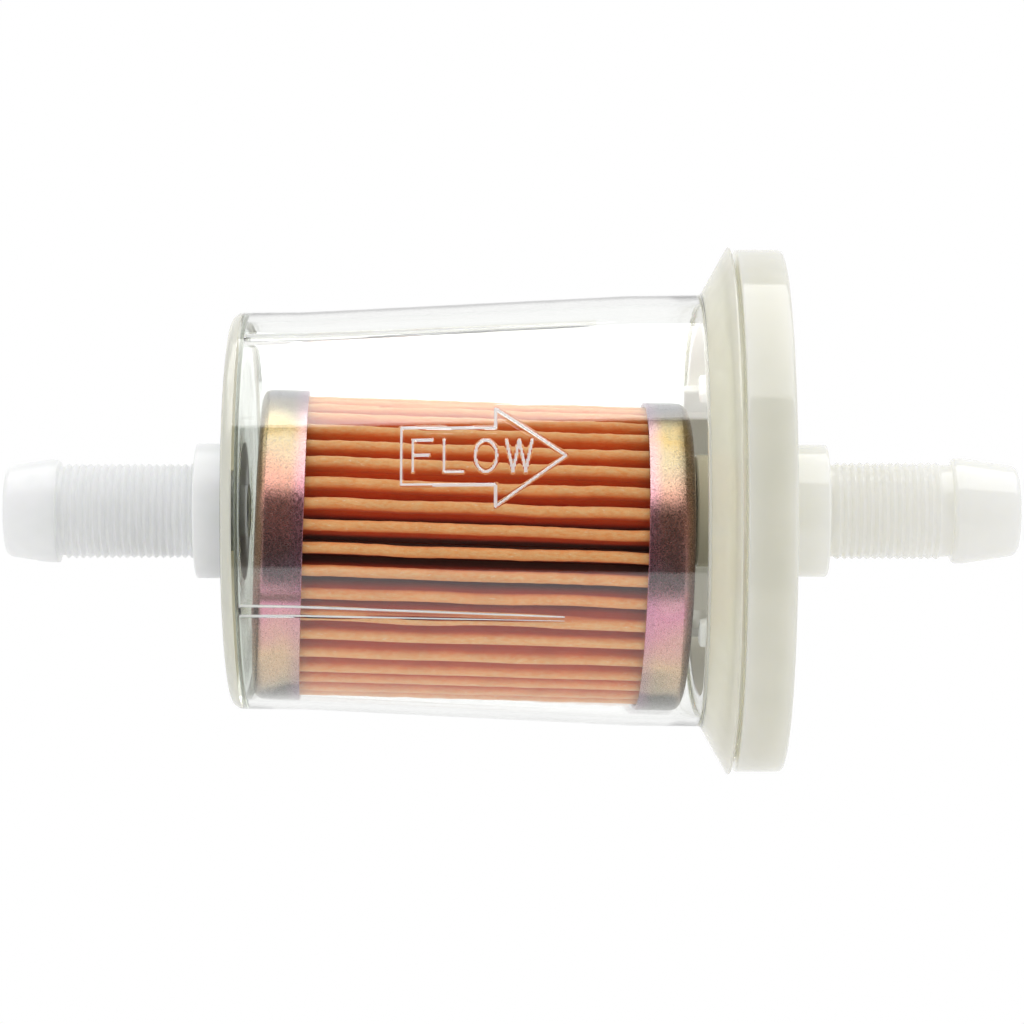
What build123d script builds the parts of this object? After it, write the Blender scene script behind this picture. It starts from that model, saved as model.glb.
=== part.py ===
from build123d import *
from math import cos, pi, radians, sin, tan
import os

# In-line fuel filter for a small engine, with hose barbs at both ends.
# Millimetres. The origin is the centre of the whole filter, on its axis.
# +X runs along the axis with the flow, from the inlet to the outlet. +Z is up.
# The paper element lies loose on the lower wall of the bowl, so it sits below the axis.

# ---- Driving dimensions ----------------------------------------------------------

half_length = 43.5            # barb tip to origin, the same at both ends
bore_r = 2.2                  # fuel passage through both nipples
bore_break = 0.3              # small chamfer at the mouth of each passage

# Inlet nipple, moulded with the bowl
inlet_tip_r = 3.85
inlet_barb_r = 4.42
inlet_barb_back = -38.95      # sharp step behind the barb
inlet_root_r = 3.8
inlet_crest_r = 4.1
inlet_ridges_start = -38.49
inlet_ridges_end = -27.2
inlet_ridge_count = 18
inlet_collar_start = -27.15
inlet_collar_r = 5.8

# Outlet nipple, moulded with the end cover
outlet_tip_r = 3.8
outlet_nose_r = 1.1           # rounding of the outlet's tip
outlet_barb_r = 4.53
outlet_barb_back = 37.75
outlet_root_r = 3.95
outlet_crest_r = 4.2
outlet_ridges_start = 27.65
outlet_ridges_end = 36.85
outlet_ridge_count = 14
outlet_collar_end = 27.1
outlet_collar_r = 5.7

barb_land = 1.0               # straight length at the largest diameter of each barb
barb_step = 0.1               # lead of the step behind each barb

# Bowl: a clear tapered cup that flares out to the cover
bowl_end = -24.0              # flat outer face of the closed end
bowl_floor = -22.8            # inner face of the closed end
bowl_end_r = 17.05            # outer radius at the closed end
cone_start = -18.0            # the wall is nearly straight up to here, then tapers
cone_start_r = 17.09
cone_end = 10.0               # from here to the flare it is nearly straight again
cone_end_r = 18.49
bowl_mouth_r = 18.56
bowl_wall = 0.7
bowl_corner_r = 1.2
bowl_floor_corner_r = 0.35
flare_start = 16.15
flare_slope = 1.778           # radius gained for each millimetre along the axis
flare_wall = 0.7              # measured square to the flare
lip_r = 22.65
lip_edge = 0.15               # width of the lip's rim
lip_seat_r = 20.7             # the lip leans away from the cover outside this radius
pocket_r = 20.0               # pocket in the flange that locates the cover's step

# Four low ribs stiffen the inside of the bowl and fade out towards its mouth
rib_angles_long = (60, 150)   # degrees above the front, seen along +X
rib_angles_short = (-30, -120)
rib_height = 0.3
rib_width = 0.7
rib_end_long = 7.6
rib_end_short = 4.5
rib_bury = 0.35               # how far a rib reaches into the wall it is moulded on

# Raised flow mark on the front of the bowl: an arrow outline with a word inside
arrow_tail, arrow_neck, arrow_tip = -9.05, -1.35, 4.4
arrow_low, arrow_high = 2.1, 6.7
arrow_head_low, arrow_head_high = 0.4, 8.35
mark_line = 0.25
mark_height = 0.12
letter_height = 2.6
letter_width = 1.8
letter_pitch = 2.55
letters_start = -8.1

# End cover: a thick disc with a rim, a spigot in the bowl's mouth and a stub for the element
rim_start = 19.05
rim_end = 23.1
rim_r = 22.45
rim_break = 0.4
disc_floor = 20.3             # inner face of the disc
step_start = 18.0
step_r = 19.9
spigot_start = 16.3
spigot_r = 17.76
spigot_inner_r = 15.9
stub_start = 16.0
stub_r = 4.83
finger_start = 15.75
finger_inner_r = 13.7
finger_depth = 1.1
finger_width = 2.6
finger_angles = (45, 135, 225, 315)

# Element: pleated paper bonded between two pressed steel caps
element_left = -21.93         # middle of the closed cap's outer face
element_right = 15.01         # middle of the open cap's outer face
cap_r = 13.36
cap_skirt = 4.1
cap_sheet = 0.35
cap_corner_r = 1.0
cap_dish_r = 5.2              # shallow stiffening dish in the closed cap
cap_dish_depth = 0.5
cap_hole_r = 6.2
element_tilt = 1.95           # degrees, the outlet end lower
element_yaw = 2.2             # degrees, the outlet end further back
element_wall_gap = 0.15       # between the lying element and the bowl

potting_depth = 1.5
pleat_count = 41
pleat_outer_r = 12.9
pleat_inner_r = 7.65
paper_thickness = 0.35
clip_sheet = 0.2
clip_reach_r = 10.9
clip_half_length = 14.5
clip_gap = 0.02
tube_r = 7.6
tube_wall = 0.35
tube_hole_r = 1.1
tube_holes_around = 8
tube_rows = 9
tube_row_pitch = 3.6

grommet_r = 7.0
grommet_bore_r = 4.75
grommet_lip = 0.25
grommet_depth = 0.9

# ---- Derived dimensions ----------------------------------------------------------

element_half = (element_right - element_left) / 2
element_centre_x = (element_right + element_left) / 2
paper_half = element_half - cap_sheet - potting_depth


def bowl_outer(x):
    """Outer radius of the bowl's side wall at x."""
    stations = [
        (bowl_end, bowl_end_r),
        (cone_start, cone_start_r),
        (cone_end, cone_end_r),
        (flare_start, bowl_mouth_r),
    ]
    for (x0, r0), (x1, r1) in zip(stations[:-1], stations[1:]):
        if x <= x1:
            return r0 + (r1 - r0) * (x - x0) / (x1 - x0)
    return bowl_mouth_r


def bowl_inner(x):
    """Inner radius of the bowl's side wall at x."""
    return bowl_outer(x) - bowl_wall


# The lying element touches the wall first at its closed end or its open end
rest_left = bowl_inner(element_left) - cap_r - element_wall_gap
rest_right = bowl_inner(element_right) - cap_r - element_wall_gap
element_rise = element_half * tan(radians(element_tilt))
element_centre_z = -min(rest_left + element_rise, rest_right - element_rise)
element_centre_y = element_half * sin(radians(element_yaw))


# ---- Shared shapes ---------------------------------------------------------------


def turned(points, rounds=()):
    """A solid turned about X from an outline of (x, radius) points.

    rounds holds (corner point, radius) pairs for corners that are rounded.
    """
    face = make_face(Polyline(*points, close=True))
    for corner, radius in rounds:
        vertex = face.vertices().sort_by_distance((*corner, 0))[0]
        face = fillet(vertex, radius)
    return revolve(face, Axis.X)


def ridge_points(start, end, count, root_r, crest_r):
    """Outline of a run of small ridges that grip a hose."""
    pitch = (end - start) / count
    points = [(start, root_r)]
    for i in range(count):
        points.append((start + (i + 0.5) * pitch, crest_r))
        points.append((start + (i + 1) * pitch, root_r))
    return points


def ring(x0, x1, inner_r, outer_r):
    """A plain ring about X from x0 to x1."""
    return turned([(x0, inner_r), (x1, inner_r), (x1, outer_r), (x0, outer_r)])


# ---- Housing ---------------------------------------------------------------------


def flow_mark():
    """The raised arrow outline and its word, as a solid that merges with the bowl."""
    middle = (arrow_low + arrow_high) / 2
    arrow = make_face(
        Polyline(
            (arrow_tail, arrow_low),
            (arrow_neck, arrow_low),
            (arrow_neck, arrow_head_low),
            (arrow_tip, middle),
            (arrow_neck, arrow_head_high),
            (arrow_neck, arrow_high),
            (arrow_tail, arrow_high),
            close=True,
        )
    )
    marks = arrow - offset(arrow, -mark_line, kind=Kind.INTERSECTION)
    w, h = letter_width, letter_height
    strokes = [
        [((0, 0), (0, h)), ((0, h), (w * 0.9, h)), ((0, h / 2), (w * 0.75, h / 2))],
        [((0, 0), (0, h)), ((0, 0), (w * 0.9, 0))],
        [],
        [((0, h), (w * 0.3, 0)), ((w * 0.3, 0), (w * 0.6, h)),
         ((w * 0.6, h), (w * 0.9, 0)), ((w * 0.9, 0), (w * 1.2, h))],
    ]
    base = middle - h / 2
    for i, lines in enumerate(strokes):
        left = letters_start + i * letter_pitch
        for (x0, y0), (x1, y1) in lines:
            line = Line((left + x0, base + y0), (left + x1, base + y1))
            marks += trace(line, mark_line)
    o_centre = letters_start + 2 * letter_pitch + w / 2
    o_outer = Ellipse((w + mark_line) / 2, (h + mark_line) / 2)
    o_inner = Ellipse((w - mark_line) / 2, (h - mark_line) / 2)
    marks += Pos(o_centre, middle) * (o_outer - o_inner)
    block = extrude(Plane.XZ * marks, amount=2 * bowl_mouth_r)
    x0, x1 = arrow_tail - 1, arrow_tip + 1
    skin = turned(
        [
            (x0, bowl_outer(x0) - mark_height),
            (x1, bowl_outer(x1) - mark_height),
            (x1, bowl_outer(x1) + mark_height),
            (x0, bowl_outer(x0) + mark_height),
        ]
    )
    return block & skin


def bowl_rib(angle, end):
    """One tapered rib inside the bowl, fading out at x = end."""
    slimmer = rib_height * (end - cone_start) / (end - bowl_floor)
    profile = make_face(
        Polyline(
            (bowl_floor - rib_bury, bowl_inner(bowl_floor) - rib_height),
            (bowl_floor, bowl_inner(bowl_floor) - rib_height),
            (cone_start, bowl_inner(cone_start) - slimmer),
            (end, bowl_inner(end)),
            (end, bowl_inner(end) + rib_bury),
            (cone_start, bowl_inner(cone_start) + rib_bury),
            (bowl_floor - rib_bury, bowl_inner(bowl_floor) + rib_bury),
            close=True,
        )
    )
    bar = extrude(profile, amount=rib_width / 2, both=True)
    # the profile's radius runs along +Y, and the front of the bowl faces -Y
    return Rot(180 - angle, 0, 0) * bar


def make_bowl():
    """Clear cup with the inlet nipple moulded on."""
    land_start = inlet_barb_back - barb_land
    lip_start = flare_start + (lip_r - bowl_mouth_r) / flare_slope
    # the flare's inner face, offset square to its outer one
    run = (1 + flare_slope**2) ** 0.5
    flare_in = flare_start + flare_wall * run / flare_slope
    mouth_x = flare_in - bowl_wall / flare_slope
    pocket_x = flare_in + (pocket_r - bowl_mouth_r) / flare_slope
    corner_out = (bowl_end, bowl_end_r)
    corner_in = (bowl_floor, bowl_inner(bowl_floor))
    tip = (-half_length, inlet_tip_r)
    collar = (inlet_collar_start, inlet_collar_r)
    outline = [
        (-half_length, bore_r + bore_break),
        tip,
        (land_start, inlet_barb_r),
        (inlet_barb_back, inlet_barb_r),
        (inlet_barb_back + barb_step, inlet_root_r),
        *ridge_points(
            inlet_ridges_start, inlet_ridges_end, inlet_ridge_count, inlet_root_r, inlet_crest_r
        ),
        (inlet_collar_start, inlet_root_r),
        collar,
        (bowl_end, inlet_collar_r),
        corner_out,
        (cone_start, cone_start_r),
        (cone_end, cone_end_r),
        (flare_start, bowl_mouth_r),
        (lip_start, lip_r),
        (lip_start + lip_edge, lip_r),
        (rim_start, lip_seat_r),
        (rim_start, pocket_r),
        (pocket_x, pocket_r),
        (mouth_x, bowl_inner(flare_start)),
        (cone_end, bowl_inner(cone_end)),
        (cone_start, bowl_inner(cone_start)),
        corner_in,
        (bowl_floor, bore_r),
        (-half_length + bore_break, bore_r),
    ]
    rounds = [
        (corner_out, bowl_corner_r),
        (corner_in, bowl_floor_corner_r),
        (tip, 0.6),
        (collar, 0.3),
    ]
    bowl = turned(outline, rounds)
    for angle in rib_angles_long:
        bowl += bowl_rib(angle, rib_end_long)
    for angle in rib_angles_short:
        bowl += bowl_rib(angle, rib_end_short)
    return bowl + flow_mark()


def make_end_cover():
    """Milky disc with the outlet nipple, the spigot, the stub and four centring fingers."""
    land_end = outlet_barb_back + barb_step + barb_land
    rim_corner = (rim_end, rim_r)
    tip = (half_length, outlet_tip_r)
    collar = (outlet_collar_end, outlet_collar_r)
    outline = [
        (stub_start, bore_r),
        (stub_start, stub_r),
        (disc_floor, stub_r),
        (disc_floor, spigot_inner_r),
        (spigot_start, spigot_inner_r),
        (spigot_start, spigot_r),
        (step_start, spigot_r),
        (step_start, step_r),
        (rim_start, step_r),
        (rim_start, rim_r),
        rim_corner,
        (rim_end, outlet_collar_r),
        collar,
        (outlet_collar_end, outlet_root_r),
        *ridge_points(
            outlet_ridges_start, outlet_ridges_end, outlet_ridge_count, outlet_root_r, outlet_crest_r
        ),
        (outlet_barb_back, outlet_root_r),
        (outlet_barb_back + barb_step, outlet_barb_r),
        (land_end, outlet_barb_r),
        tip,
        (half_length, bore_r + bore_break),
        (half_length - bore_break, bore_r),
    ]
    rounds = [
        (rim_corner, rim_break),
        ((rim_start, rim_r), rim_break / 2),
        (tip, outlet_nose_r),
        (collar, 0.3),
        ((stub_start, stub_r), 0.3),
    ]
    cover = turned(outline, rounds)
    finger_length = disc_floor - finger_start + rib_bury
    finger = Pos(
        finger_start + finger_length / 2, finger_inner_r + finger_depth / 2, 0
    ) * Box(finger_length, finger_depth, finger_width)
    tip_edges = finger.edges().filter_by(Axis.X, reverse=True).group_by(Axis.X)[0]
    finger = fillet(tip_edges, 0.35)
    for angle in finger_angles:
        cover += Rot(angle, 0, 0) * finger
    return cover


# ---- Element, built about its own middle and then laid in the bowl ------------------


def lay(shape):
    """Moves a piece from the element's own frame to where the element lies."""
    lying = Pos(element_centre_x, element_centre_y, element_centre_z)
    return lying * Rot(0, element_tilt, 0) * Rot(0, 0, element_yaw) * shape


def make_inlet_cap():
    """Closed pressed cap with a shallow dish in the middle."""
    face, mouth = -element_half, -element_half + cap_skirt
    corner_out = (face, cap_r)
    corner_in = (face + cap_sheet, cap_r - cap_sheet)
    outline = [
        (face + cap_dish_depth, 0),
        (face + cap_dish_depth, cap_dish_r - cap_dish_depth),
        (face, cap_dish_r),
        corner_out,
        (mouth, cap_r),
        (mouth, cap_r - cap_sheet),
        corner_in,
        (face + cap_sheet, cap_dish_r),
        (face + cap_sheet + cap_dish_depth, cap_dish_r - cap_dish_depth),
        (face + cap_sheet + cap_dish_depth, 0),
    ]
    return turned(outline, [(corner_out, cap_corner_r), (corner_in, cap_corner_r - cap_sheet)])


def make_outlet_cap():
    """Open pressed cap, with a round hole for the grommet."""
    face, mouth = element_half, element_half - cap_skirt
    corner_out = (face, cap_r)
    corner_in = (face - cap_sheet, cap_r - cap_sheet)
    outline = [
        (face, cap_hole_r),
        corner_out,
        (mouth, cap_r),
        (mouth, cap_r - cap_sheet),
        corner_in,
        (face - cap_sheet, cap_hole_r),
    ]
    return turned(outline, [(corner_out, cap_corner_r), (corner_in, cap_corner_r - cap_sheet)])


def make_potting(side):
    """Ring of set adhesive that bonds the paper in a cap. side is -1 or 1."""
    inner, outer = side * paper_half, side * (element_half - cap_sheet)
    top_r = cap_r - cap_sheet
    corner = (outer, top_r)
    outline = [(inner, tube_r), (outer, tube_r), corner, (inner, top_r)]
    return turned(outline, [(corner, cap_corner_r - cap_sheet)])


def fold_point(index):
    """Corner of the paper's middle line at one fold: even folds are ridges, odd are valleys."""
    angle = index * pi / pleat_count
    middle_r = (pleat_outer_r if index % 2 == 0 else pleat_inner_r + paper_thickness) - paper_thickness / 2
    return (middle_r * cos(angle), middle_r * sin(angle))


def make_pleated_paper():
    """One strip of filter paper, folded into a ring of pleats."""
    fold_line = make_face(Polyline(*[fold_point(i) for i in range(2 * pleat_count)], close=True))
    outer = offset(fold_line, paper_thickness / 2, kind=Kind.ARC)
    inner = offset(fold_line, -paper_thickness / 2, kind=Kind.ARC)
    return extrude(Plane.YZ * (outer - inner), amount=paper_half, both=True)


def make_seam_clip():
    """Folded strip that joins the two ends of the paper, over the pleat at the back."""
    (ridge_x, _), (valley_x, valley_y) = fold_point(0), fold_point(1)
    pleat = make_face(Polyline((valley_x, -valley_y), (ridge_x, 0), (valley_x, valley_y), close=True))
    inside = paper_thickness / 2 + clip_gap
    sleeve = offset(pleat, inside + clip_sheet) - offset(pleat, inside)
    window = Pos(clip_reach_r + pleat_outer_r / 2, 0) * Rectangle(pleat_outer_r, pleat_outer_r)
    return extrude(Plane.YZ * (sleeve & window), amount=clip_half_length, both=True)


def make_center_tube():
    """Perforated steel core that keeps the pleats from being sucked inwards."""
    half = element_half - cap_sheet
    tube = ring(-half, half, tube_r - tube_wall, tube_r)
    punch = Cylinder(tube_hole_r, 3 * tube_r)
    for row in range(tube_rows):
        x = (row - (tube_rows - 1) / 2) * tube_row_pitch
        for i in range(tube_holes_around // 2):
            turn = (i + 0.5 * (row % 2)) * 360 / tube_holes_around
            tube -= Pos(x, 0, 0) * Rot(turn, 0, 0) * punch
    return tube


def make_outlet_grommet():
    """Rubber ring in the open cap's hole. It seals on the cover's stub."""
    outer_face = element_half + grommet_lip
    inner_face = element_half - cap_sheet - grommet_depth
    outline = [
        (inner_face, grommet_bore_r),
        (inner_face, grommet_r),
        (element_half - cap_sheet, grommet_r),
        (element_half - cap_sheet, cap_hole_r),
        (element_half, cap_hole_r),
        (element_half, grommet_r),
        (outer_face, grommet_r),
        (outer_face, grommet_bore_r),
    ]
    return turned(outline)


# ---- The whole filter --------------------------------------------------------------

parts = {
    "bowl": make_bowl(),
    "end_cover": make_end_cover(),
    "inlet_cap": lay(make_inlet_cap()),
    "outlet_cap": lay(make_outlet_cap()),
    "inlet_potting": lay(make_potting(-1)),
    "outlet_potting": lay(make_potting(1)),
    "pleated_paper": lay(make_pleated_paper()),
    "seam_clip": lay(make_seam_clip()),
    "center_tube": lay(make_center_tube()),
    "outlet_grommet": lay(make_outlet_grommet()),
}

os.makedirs("parts", exist_ok=True)
for name, shape in parts.items():
    export_step(shape, f"parts/{name}.step")
print("element centre z", round(element_centre_z, 3))
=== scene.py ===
import math

import bmesh
import bpy
import numpy as np
from mathutils import Matrix, Vector


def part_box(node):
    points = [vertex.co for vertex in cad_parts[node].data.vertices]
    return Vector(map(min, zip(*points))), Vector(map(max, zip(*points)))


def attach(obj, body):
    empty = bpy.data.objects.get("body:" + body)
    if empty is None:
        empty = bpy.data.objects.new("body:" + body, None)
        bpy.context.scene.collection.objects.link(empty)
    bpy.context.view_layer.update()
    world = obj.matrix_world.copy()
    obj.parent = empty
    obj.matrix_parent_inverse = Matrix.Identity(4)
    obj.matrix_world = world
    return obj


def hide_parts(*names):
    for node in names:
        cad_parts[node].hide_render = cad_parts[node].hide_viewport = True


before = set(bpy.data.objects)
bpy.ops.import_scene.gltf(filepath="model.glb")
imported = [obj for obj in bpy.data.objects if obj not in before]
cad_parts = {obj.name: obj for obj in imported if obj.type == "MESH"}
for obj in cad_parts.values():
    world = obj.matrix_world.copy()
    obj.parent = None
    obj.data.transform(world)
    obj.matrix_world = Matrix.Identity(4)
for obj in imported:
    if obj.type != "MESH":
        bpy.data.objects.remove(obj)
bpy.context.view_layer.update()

# Sizes are millimetres until a mesh is made. X runs along the filter, and angles round
# it are degrees above the front (-Y), positive towards the top (+Z).
MM = 0.001

# ---- Sizes of the housing --------------------------------------------------------

HALF_LENGTH = 43.5
BORE_R = 2.2
BORE_BREAK = 0.3               # chamfer at each end of the passage

BOWL_END = -24.0
BOWL_FLOOR = -22.8
BOWL_WALL = 0.7
CONE_START = -18.0
CONE_END = 10.0
FLARE_START = 16.15
BOWL_STATIONS = ((BOWL_END, 17.05), (CONE_START, 17.09), (CONE_END, 18.49), (FLARE_START, 18.56))
FLARE_SLOPE = 1.778
FLARE_WALL = 0.7
LIP_R = 22.65
LIP_EDGE = 0.15
LIP_SEAT_R = 20.7
POCKET_R = 20.0
RIM_START = 19.05

# Nipples: radii of the tip, the barb, the neck and the collar, and where the collar starts
IN_TIP_R, IN_BARB_R, IN_NECK_R, IN_COLLAR_R, IN_COLLAR_X = 3.85, 4.42, 3.8, 5.8, -27.15
OUT_TIP_R, OUT_BARB_R, OUT_NECK_R, OUT_COLLAR_R, OUT_COLLAR_X = 3.8, 4.53, 3.95, 5.7, 27.1

# Ridges on the nipples: start, end, how many, root and crest radius
RIDGES_IN = (-38.49, -27.2, 18, IN_NECK_R, 4.1)
RIDGES_OUT = (27.65, 36.85, 14, OUT_NECK_R, 4.2)
RIDGE_ROUND = (0.8, 0.6)       # share of a ridge's rise where it rounds off, and its slope there
HAZY_END = -24.05              # the nipple is hazy left of here

RIBS = ((60, 7.6), (150, 7.6), (-30, 4.5), (-120, 4.5))   # angle and where it fades out
RIB_HEIGHT = 0.35
RIB_HALF_WIDTH = 0.48
RIB_TAPER = 0.3                # share of its width that a rib keeps where it fades out
RIB_EDGE = 0.12
RIB_STEP = 0.42                # degrees between points across a rib
RIB_PITCH = 90                 # degrees from one rib to the next

MARK_HEIGHT = 0.12
MARK_HALF_WIDTH = 0.12         # of a stroke
MARK_X = (-9.5, 4.9)           # the stretch of wall that holds the mark
MARK_ANGLES = (-0.5, 29.5)
MARK_STEP = 0.095

NEAR_WALL = 0.05               # a point this close to a wall's radius lies on the wall
WALL_MARGIN = 0.4              # ribs and mark stay this far from the floor and the flare
BOWL_ANGLE_STEP = 3.6          # degrees between points away from the ribs and the mark

STUB_START, STUB_R = 16.0, 4.83
DISC_START = 20.3              # inner face of the cover's disc
SPIGOT_START, SPIGOT_INNER_R, SPIGOT_R = 16.3, 15.9, 17.76
PLUG_START, PLUG_R = 18.0, 19.9
COVER_R = 22.45
COVER_FACE = 23.1
FINGER_ANGLES = (45, 135, 225, 315)
FINGER_SIZE = (5.0, 1.1, 2.6)  # along the filter, outwards and round it
FINGER_START, FINGER_R = 15.75, 14.25

# ---- Sizes of the element --------------------------------------------------------

ELEMENT_HALF = 18.47
CAP_R = 13.36
CAP_SKIRT = 4.1
CAP_SHEET = 0.35
CAP_MIDDLE = ELEMENT_HALF - CAP_SKIRT / 2
CAP_CORNER_R = 1.0
CAP_HOLE_R = 6.2
CAP_DISH = (5.2, 0.5)          # radius and depth of the closed cap's dish
PAPER_HALF = 16.62
PLEATS = 41
PLEAT_OUTER_R = 12.9
PLEAT_SHADE_R = 9.5            # the paper's painted shade is darkest from here inwards
PAPER = 0.35
PAPER_STATIONS = 68
FOLD_R = 0.3                   # of the paper's middle line at a ridge
VALLEY_R = 8.1
VALLEY_FOLD_R = 0.24
CRINKLE_TURN = 0.16            # degrees that a ridge strays from one station to the next
CRINKLE_R = 0.04


def bowl_outer(x):
    """Outer radius of the bowl's wall at x."""
    return np.interp(x, *zip(*BOWL_STATIONS))


def bowl_inner(x):
    """Inner radius of the bowl's wall at x."""
    return bowl_outer(x) - BOWL_WALL


# ---- Mesh tools ------------------------------------------------------------------


def rounded(corners, closed=True, step=14):
    """Points of an outline from (x, r, rounding radius) corners, with an arc at each."""
    points = []
    count = len(corners)
    for i, (x, r, radius) in enumerate(corners):
        here = np.array((x, r), float)
        ends = not closed and i in (0, count - 1)
        if radius == 0 or ends:
            points.append(here)
            continue
        before = np.array(corners[i - 1][:2], float) - here
        after = np.array(corners[(i + 1) % count][:2], float) - here
        u, v = before / np.linalg.norm(before), after / np.linalg.norm(after)
        half = math.acos(np.clip(u @ v, -1, 1)) / 2
        room = 0.48 * min(np.linalg.norm(before), np.linalg.norm(after))
        reach = min(radius / math.tan(half), room)
        centre = here + (u + v) / np.linalg.norm(u + v) * reach / math.cos(half)
        a, b = here + u * reach - centre, here + v * reach - centre
        start = math.atan2(a[1], a[0])
        turn = (math.atan2(b[1], b[0]) - start + math.pi) % (2 * math.pi) - math.pi
        pieces = max(2, math.ceil(abs(math.degrees(turn)) / step))
        size = np.linalg.norm(a)
        for k in range(pieces + 1):
            angle = start + turn * k / pieces
            points.append(centre + size * np.array((math.cos(angle), math.sin(angle))))
    return np.array(points)


def refined(points, step, closed=True):
    """Adds points along straight runs. step(x, r) is the longest run allowed there."""
    out = []
    last = len(points) if closed else len(points) - 1
    for i in range(last):
        a, b = points[i], points[(i + 1) % len(points)]
        middle = (a + b) / 2
        pieces = max(1, math.ceil(np.linalg.norm(b - a) / step(*middle)))
        out += [a + (b - a) * k / pieces for k in range(pieces)]
    if not closed:
        out.append(points[-1])
    return np.array(out)


def angle_stations(bands, coarse):
    """Angles round the axis, coarse but for finer steps inside each (low, high, step) band."""
    angles = [
        a for a in np.arange(-180, 180, coarse)
        if not any(low - fine < a < high + fine for low, high, fine in bands)
    ]
    for low, high, fine in bands:
        angles += list(np.linspace(low, high, math.ceil((high - low) / fine) + 1))
    return np.array(sorted(angles))


def grid_mesh(name, points, wrap_rows, wrap_columns=True):
    """A mesh from a grid of points in millimetres, closed along each direction that wraps."""
    rows, columns = points.shape[:2]
    i = np.arange(rows if wrap_rows else rows - 1)[:, None]
    j = np.arange(columns if wrap_columns else columns - 1)[None, :]
    i2, j2 = (i + 1) % rows, (j + 1) % columns
    quads = np.stack([i * columns + j, i2 * columns + j, i2 * columns + j2, i * columns + j2], -1)
    mesh = bpy.data.meshes.new(name)
    mesh.from_pydata((points.reshape(-1, 3) * MM).tolist(), [], quads.reshape(-1, 4).tolist())
    return mesh


def tidy(mesh, sharp_angle=38):
    """Merges doubled points, faces everything outwards and sets smooth shading with sharp edges."""
    bm = bmesh.new()
    bm.from_mesh(mesh)
    bmesh.ops.remove_doubles(bm, verts=bm.verts, dist=1e-8)
    bmesh.ops.dissolve_degenerate(bm, dist=1e-9, edges=bm.edges)
    bmesh.ops.recalc_face_normals(bm, faces=bm.faces)
    for face in bm.faces:
        face.smooth = True
    limit = math.radians(sharp_angle)
    for edge in bm.edges:
        edge.smooth = not (edge.is_manifold and edge.calc_face_angle(0) > limit)
    bm.to_mesh(mesh)
    bm.free()
    return mesh


def turned(name, outline, angles, shift=None, closed=True):
    """A surface turned about X. shift(x, r, angle) gives the radius at each grid point."""
    x = np.repeat(outline[:, :1], len(angles), axis=1)
    r = np.repeat(outline[:, 1:], len(angles), axis=1)
    turn = np.repeat(angles[None, :], len(outline), axis=0)
    if shift is not None:
        r = shift(x, r, turn)
    turn = np.radians(turn)
    points = np.stack([x, -r * np.cos(turn), r * np.sin(turn)], -1)
    return tidy(grid_mesh(name, points, wrap_rows=closed))


def place(name, mesh, body, material, replaces=(), matrix=None):
    """Puts a finished mesh in the scene on its body."""
    piece = bpy.data.objects.new(name, mesh)
    bpy.context.scene.collection.objects.link(piece)
    if matrix is not None:
        piece.matrix_world = matrix
    mesh.materials.clear()
    mesh.materials.append(material)
    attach(piece, body)
    if replaces:
        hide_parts(*replaces)
    return piece


def smoothstep(t):
    """0 below 0, 1 above 1 and smooth between."""
    t = np.clip(t, 0, 1)
    return t * t * (3 - 2 * t)


# ---- Material tools --------------------------------------------------------------


class Tree:
    """A short way to build one node tree."""

    def __init__(self, tree):
        self.tree = tree
        tree.nodes.clear()

    def add(self, kind, inputs=None, **settings):
        """Adds one node. Its inputs are numbers, colours or other nodes' outputs."""
        node = self.tree.nodes.new("ShaderNode" + kind)
        for key, value in settings.items():
            setattr(node, key, value)
        for key, value in (inputs or {}).items():
            if isinstance(value, bpy.types.NodeSocket):
                self.tree.links.new(value, node.inputs[key])
            else:
                node.inputs[key].default_value = value
        return node

    def math(self, operation, a, b=0.0):
        """One arithmetic step."""
        return self.add("Math", {0: a, 1: b}, operation=operation).outputs[0]

    def span(self, value, low, high, to_low, to_high, smooth=True):
        """Maps low..high to to_low..to_high, held at both ends."""
        kind = "SMOOTHSTEP" if smooth else "LINEAR"
        inputs = {
            "Value": value, "From Min": low, "From Max": high,
            "To Min": to_low, "To Max": to_high,
        }
        return self.add("MapRange", inputs, interpolation_type=kind).outputs["Result"]

    def span_mm(self, value, low, high, to_low, to_high, smooth=True):
        """The same for a length, with low and high in millimetres."""
        return self.span(value, low * MM, high * MM, to_low, to_high, smooth)


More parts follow.
